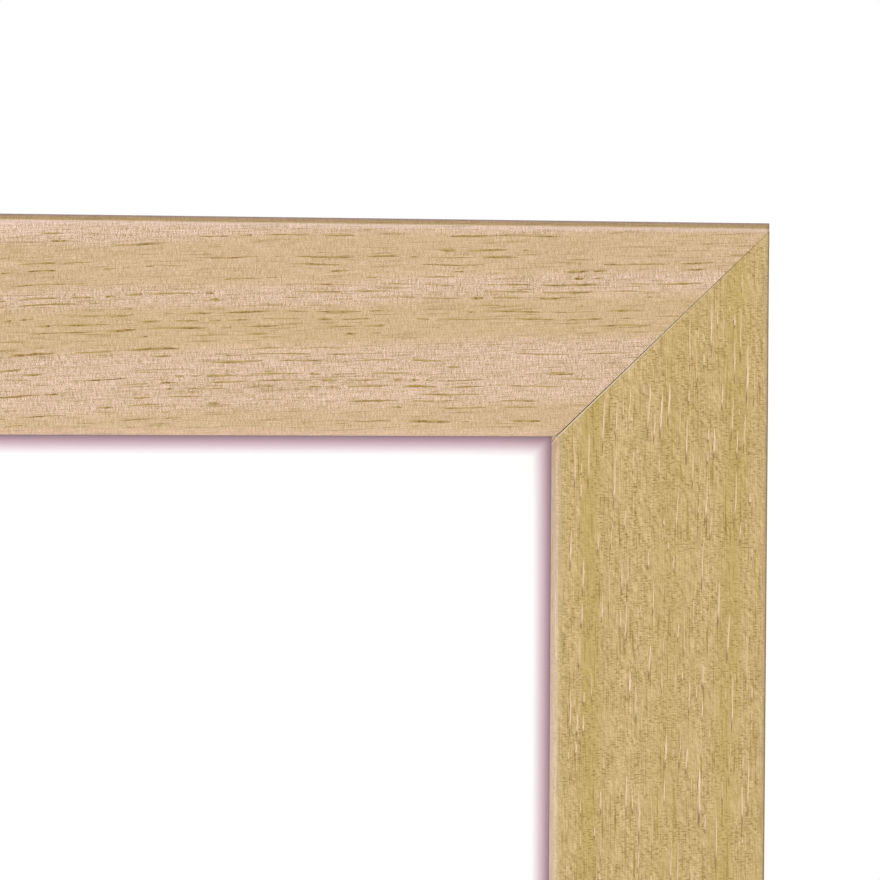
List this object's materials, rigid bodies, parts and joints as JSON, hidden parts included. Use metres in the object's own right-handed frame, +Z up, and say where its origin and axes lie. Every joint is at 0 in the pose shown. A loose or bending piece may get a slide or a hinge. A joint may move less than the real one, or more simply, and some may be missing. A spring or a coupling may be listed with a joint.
{
  "type": "poster frame",
  "caption": "Portrait frame of flat mitred light wood with a glazed, backed poster stack, turn buttons and D-ring wall hangers.",
  "frame": {"origin": "on the back plane of the moulding, midway between the two points where the D-rings hang on their hooks", "axes": "+X to the right seen from the front, +Y from the front towards the wall, +Z up"},
  "size_m": [0.332, 0.0157, 0.432],
  "materials": {
    "wood": "bare open-pored light wood, sanded, matt clear coat",
    "zinc_steel": "zinc plated, satin",
    "clear_glass": "clear float glass, seamed edges",
    "poster_paper": "smooth matt white paper, bare",
    "grey_card": "uncoated grey card",
    "fibreboard": "thin fibreboard, smooth pressed face",
    "black_rubber": "matt moulded rubber"
  },
  "bodies": {
    "frame": {"top_rail": "wood", "bottom_rail": "wood", "left_stile": "wood", "right_stile": "wood", "top_right_outer_vnail": "zinc_steel", "top_right_inner_vnail": "zinc_steel", "bottom_right_outer_vnail": "zinc_steel", "bottom_right_inner_vnail": "zinc_steel", "bottom_left_outer_vnail": "zinc_steel", "bottom_left_inner_vnail": "zinc_steel", "top_left_outer_vnail": "zinc_steel", "top_left_inner_vnail": "zinc_steel", "left_stile_bottom_button_screw": "zinc_steel", "left_stile_top_button_screw": "zinc_steel", "right_stile_bottom_button_screw": "zinc_steel", "right_stile_top_button_screw": "zinc_steel", "bottom_rail_left_button_screw": "zinc_steel", "bottom_rail_right_button_screw": "zinc_steel", "top_rail_left_button_screw": "zinc_steel", "top_rail_right_button_screw": "zinc_steel", "left_strap_hanger": "zinc_steel", "right_strap_hanger": "zinc_steel", "left_hanger_screw": "zinc_steel", "right_hanger_screw": "zinc_steel", "left_bumper": "black_rubber", "right_bumper": "black_rubber"},
    "glazing": {"glazing_sheet": "clear_glass"},
    "poster": {"poster_sheet": "poster_paper"},
    "filler": {"filler_card": "grey_card"},
    "backing": {"backing_board": "fibreboard"},
    "left_stile_bottom_turn": {"left_stile_bottom_button": "zinc_steel"},
    "left_stile_top_turn": {"left_stile_top_button": "zinc_steel"},
    "right_stile_bottom_turn": {"right_stile_bottom_button": "zinc_steel"},
    "right_stile_top_turn": {"right_stile_top_button": "zinc_steel"},
    "bottom_rail_left_turn": {"bottom_rail_left_button": "zinc_steel"},
    "bottom_rail_right_turn": {"bottom_rail_right_button": "zinc_steel"},
    "top_rail_left_turn": {"top_rail_left_button": "zinc_steel"},
    "top_rail_right_turn": {"top_rail_right_button": "zinc_steel"},
    "left_ring": {"left_d_ring": "zinc_steel"},
    "right_ring": {"right_d_ring": "zinc_steel"}
  },
  "joints": [
    {"name": "glazing_lift_out", "type": "slide", "parent": "frame", "child": "glazing", "axis": [0, 1, 0], "range_m": [0, 0.04]},
    {"name": "poster_lift_out", "type": "slide", "parent": "glazing", "child": "poster", "axis": [0, 1, 0], "range_m": [0, 0.04]},
    {"name": "filler_lift_out", "type": "slide", "parent": "poster", "child": "filler", "axis": [0, 1, 0], "range_m": [0, 0.04]},
    {"name": "backing_lift_out", "type": "slide", "parent": "filler", "child": "backing", "axis": [0, 1, 0], "range_m": [0, 0.04]},
    {"name": "left_stile_bottom_button_turn", "type": "hinge", "parent": "frame", "child": "left_stile_bottom_turn", "pos_m": [-0.1585, 0.0008, -0.225], "axis": [0, 1, 0], "range_deg": [-90, 0]},
    {"name": "left_stile_top_button_turn", "type": "hinge", "parent": "frame", "child": "left_stile_top_turn", "pos_m": [-0.1585, 0.0008, 0.045], "axis": [0, 1, 0], "range_deg": [-90, 0]},
    {"name": "right_stile_bottom_button_turn", "type": "hinge", "parent": "frame", "child": "right_stile_bottom_turn", "pos_m": [0.1585, 0.0008, -0.225], "axis": [0, -1, 0], "range_deg": [-90, 0]},
    {"name": "right_stile_top_button_turn", "type": "hinge", "parent": "frame", "child": "right_stile_top_turn", "pos_m": [0.1585, 0.0008, 0.045], "axis": [0, -1, 0], "range_deg": [-90, 0]},
    {"name": "bottom_rail_left_button_turn", "type": "hinge", "parent": "frame", "child": "bottom_rail_left_turn", "pos_m": [-0.075, 0.0008, -0.2985], "axis": [0, -1, 0], "range_deg": [-90, 0]},
    {"name": "bottom_rail_right_button_turn", "type": "hinge", "parent": "frame", "child": "bottom_rail_right_turn", "pos_m": [0.075, 0.0008, -0.2985], "axis": [0, 1, 0], "range_deg": [-90, 0]},
    {"name": "top_rail_left_button_turn", "type": "hinge", "parent": "frame", "child": "top_rail_left_turn", "pos_m": [-0.075, 0.0008, 0.1185], "axis": [0, 1, 0], "range_deg": [-90, 0]},
    {"name": "top_rail_right_button_turn", "type": "hinge", "parent": "frame", "child": "top_rail_right_turn", "pos_m": [0.075, 0.0008, 0.1185], "axis": [0, -1, 0], "range_deg": [-90, 0]},
    {"name": "left_ring_swing", "type": "hinge", "parent": "frame", "child": "left_ring", "pos_m": [-0.1585, 0.0019, -0.01017], "axis": [-1, 0, 0], "range_deg": [0, 179]},
    {"name": "right_ring_swing", "type": "hinge", "parent": "frame", "child": "right_ring", "pos_m": [0.1585, 0.0019, -0.01017], "axis": [-1, 0, 0], "range_deg": [0, 179]}
  ]
}
